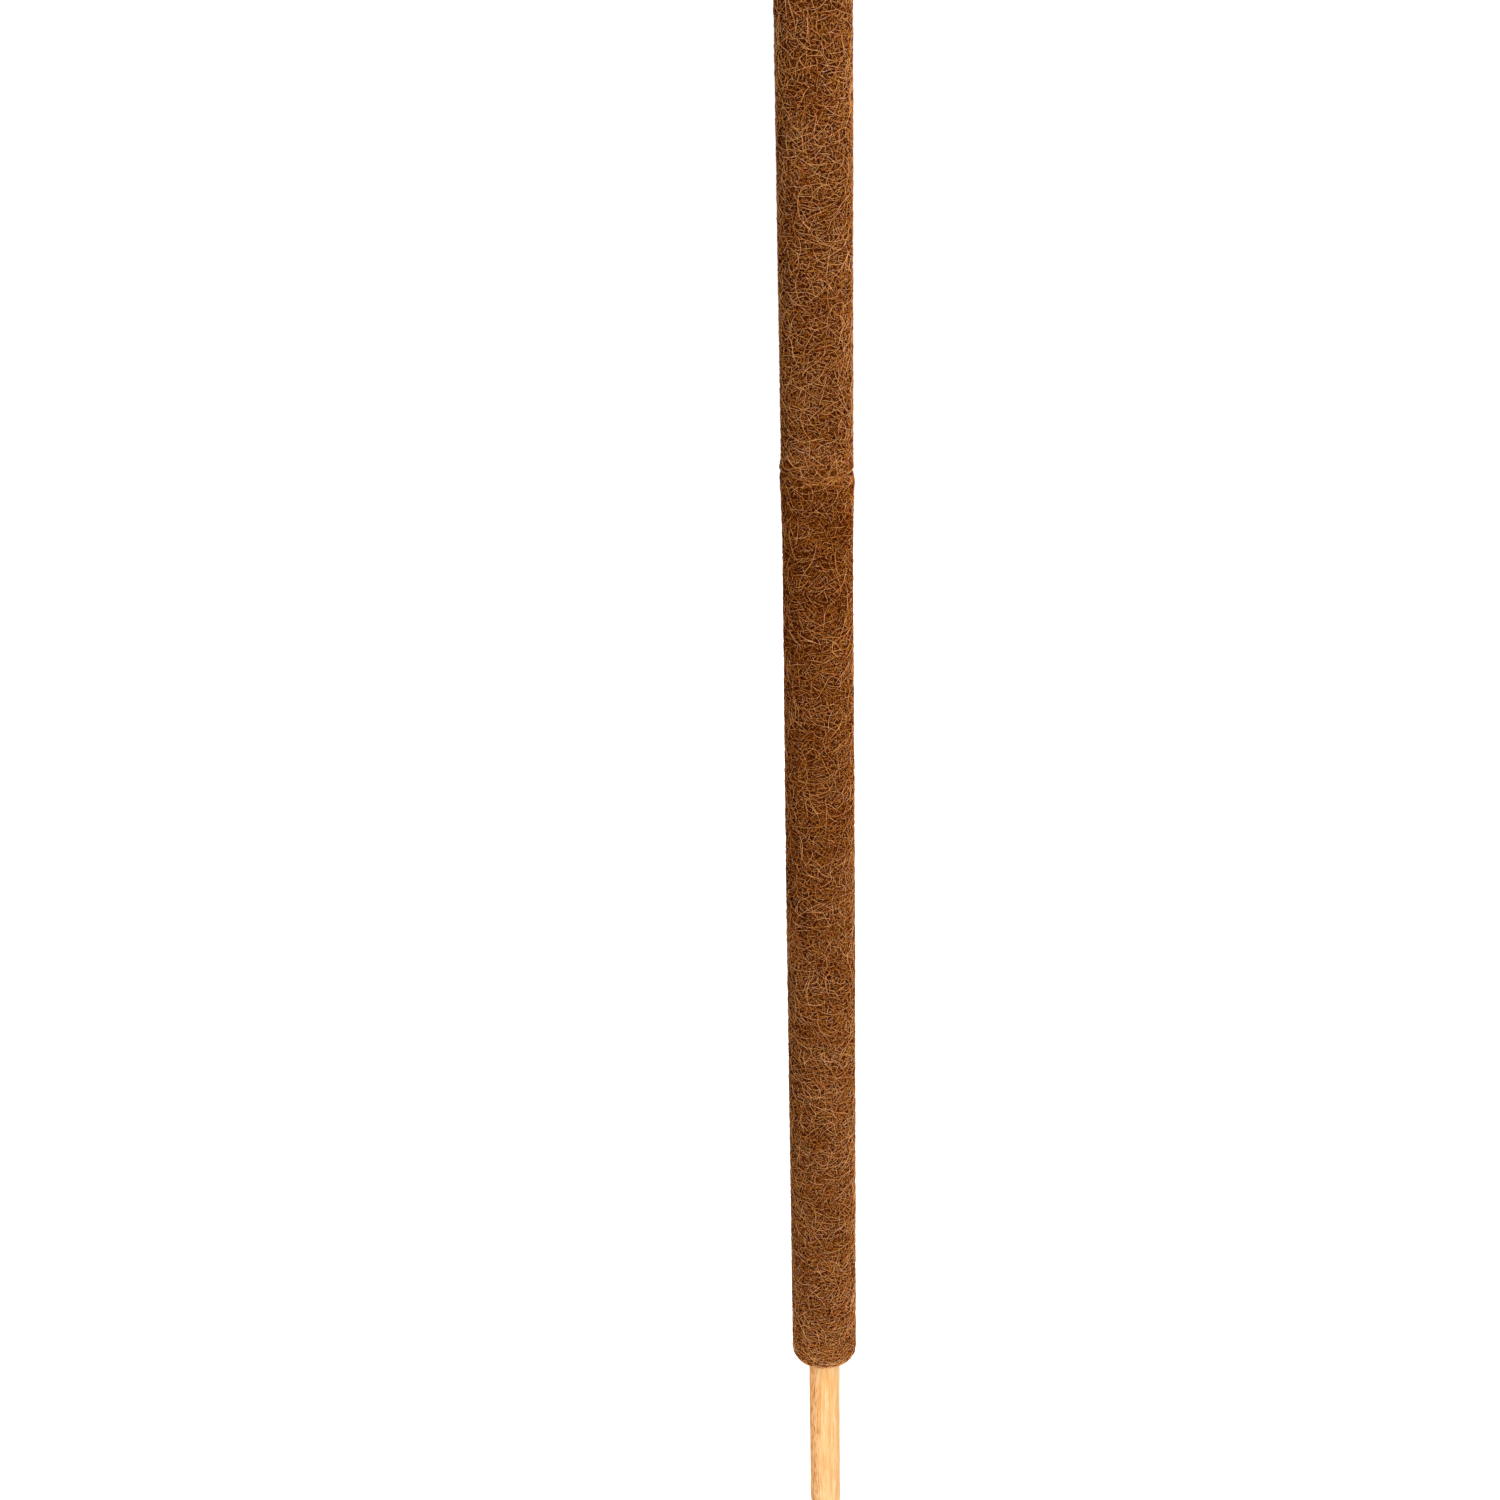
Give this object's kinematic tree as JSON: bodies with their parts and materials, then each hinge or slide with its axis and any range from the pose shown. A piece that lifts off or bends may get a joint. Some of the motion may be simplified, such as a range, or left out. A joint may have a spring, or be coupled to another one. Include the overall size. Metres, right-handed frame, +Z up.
{
  "type": "moss pole",
  "caption": "Stackable coir moss pole: felted coir sleeves on hollow core tubes, each with a pointed wooden stake that pushes into soil or into the open top of the section below.",
  "frame": {"origin": "on the pole's axis at the foot of the lower coir sleeve, which is the soil line", "axes": "+Z up along the pole's axis, +X through the head of each section's lower nail"},
  "size_m": [0.034, 0.034, 1.0715],
  "materials": {
    "coir": "matted natural coir fibre",
    "core_tube": "dark extruded plastic",
    "stake_wood": "bare planed softwood",
    "nail_steel": "plain wire"
  },
  "bodies": {
    "lower_section": {"lower_coir_wrap": "coir", "lower_core_tube": "core_tube", "lower_stake": "stake_wood", "lower_stake_nail_right": "nail_steel", "lower_stake_nail_left": "nail_steel"},
    "upper_section": {"upper_coir_wrap": "coir", "upper_core_tube": "core_tube", "upper_stake": "stake_wood", "upper_stake_nail_right": "nail_steel", "upper_stake_nail_left": "nail_steel"}
  },
  "joints": [
    {"name": "section_lift", "type": "slide", "parent": "lower_section", "child": "upper_section", "axis": [0, 0, 1], "range_m": [0, 0.13]}
  ]
}
